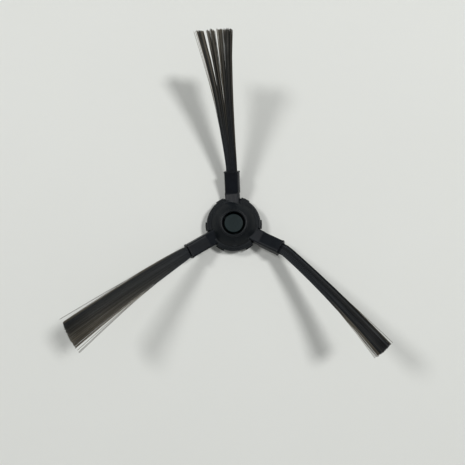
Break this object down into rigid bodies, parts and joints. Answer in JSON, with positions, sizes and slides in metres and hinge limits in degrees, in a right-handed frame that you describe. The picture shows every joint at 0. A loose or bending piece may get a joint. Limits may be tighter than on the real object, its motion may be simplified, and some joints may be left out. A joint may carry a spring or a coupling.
{
  "type": "robot vacuum side brush",
  "caption": "Side brush for a robot vacuum: a round hub with a domed cover and a drive socket, and three rising sleeves that each hold a tuft of bristles.",
  "frame": {"origin": "centre of the drive bore's mouth, in the plane that the hub's robot side rests on", "axes": "+Z out of the domed side of the hub, towards the cleaned floor in use; +Y along the first sleeve; the drive bore opens along -Z"},
  "size_m": [0.1321, 0.1393, 0.0341],
  "materials": {
    "hub_plastic": "moulded, satin",
    "cover_plastic": "moulded, satin",
    "core_plastic": "moulded, satin",
    "sleeve_rubber": "soft, dull",
    "fused_root": "fused",
    "bristle": "drawn filament"
  },
  "bodies": {
    "root": {"hub_base": "hub_plastic", "hub_cover": "cover_plastic", "drive_core": "core_plastic", "arm_sleeve_1": "sleeve_rubber", "arm_sleeve_2": "sleeve_rubber", "arm_sleeve_3": "sleeve_rubber", "tuft_root_1": "fused_root", "tuft_root_2": "fused_root", "tuft_root_3": "fused_root", "tuft_1": "bristle", "tuft_2": "bristle", "tuft_3": "bristle"}
  },
  "joints": []
}
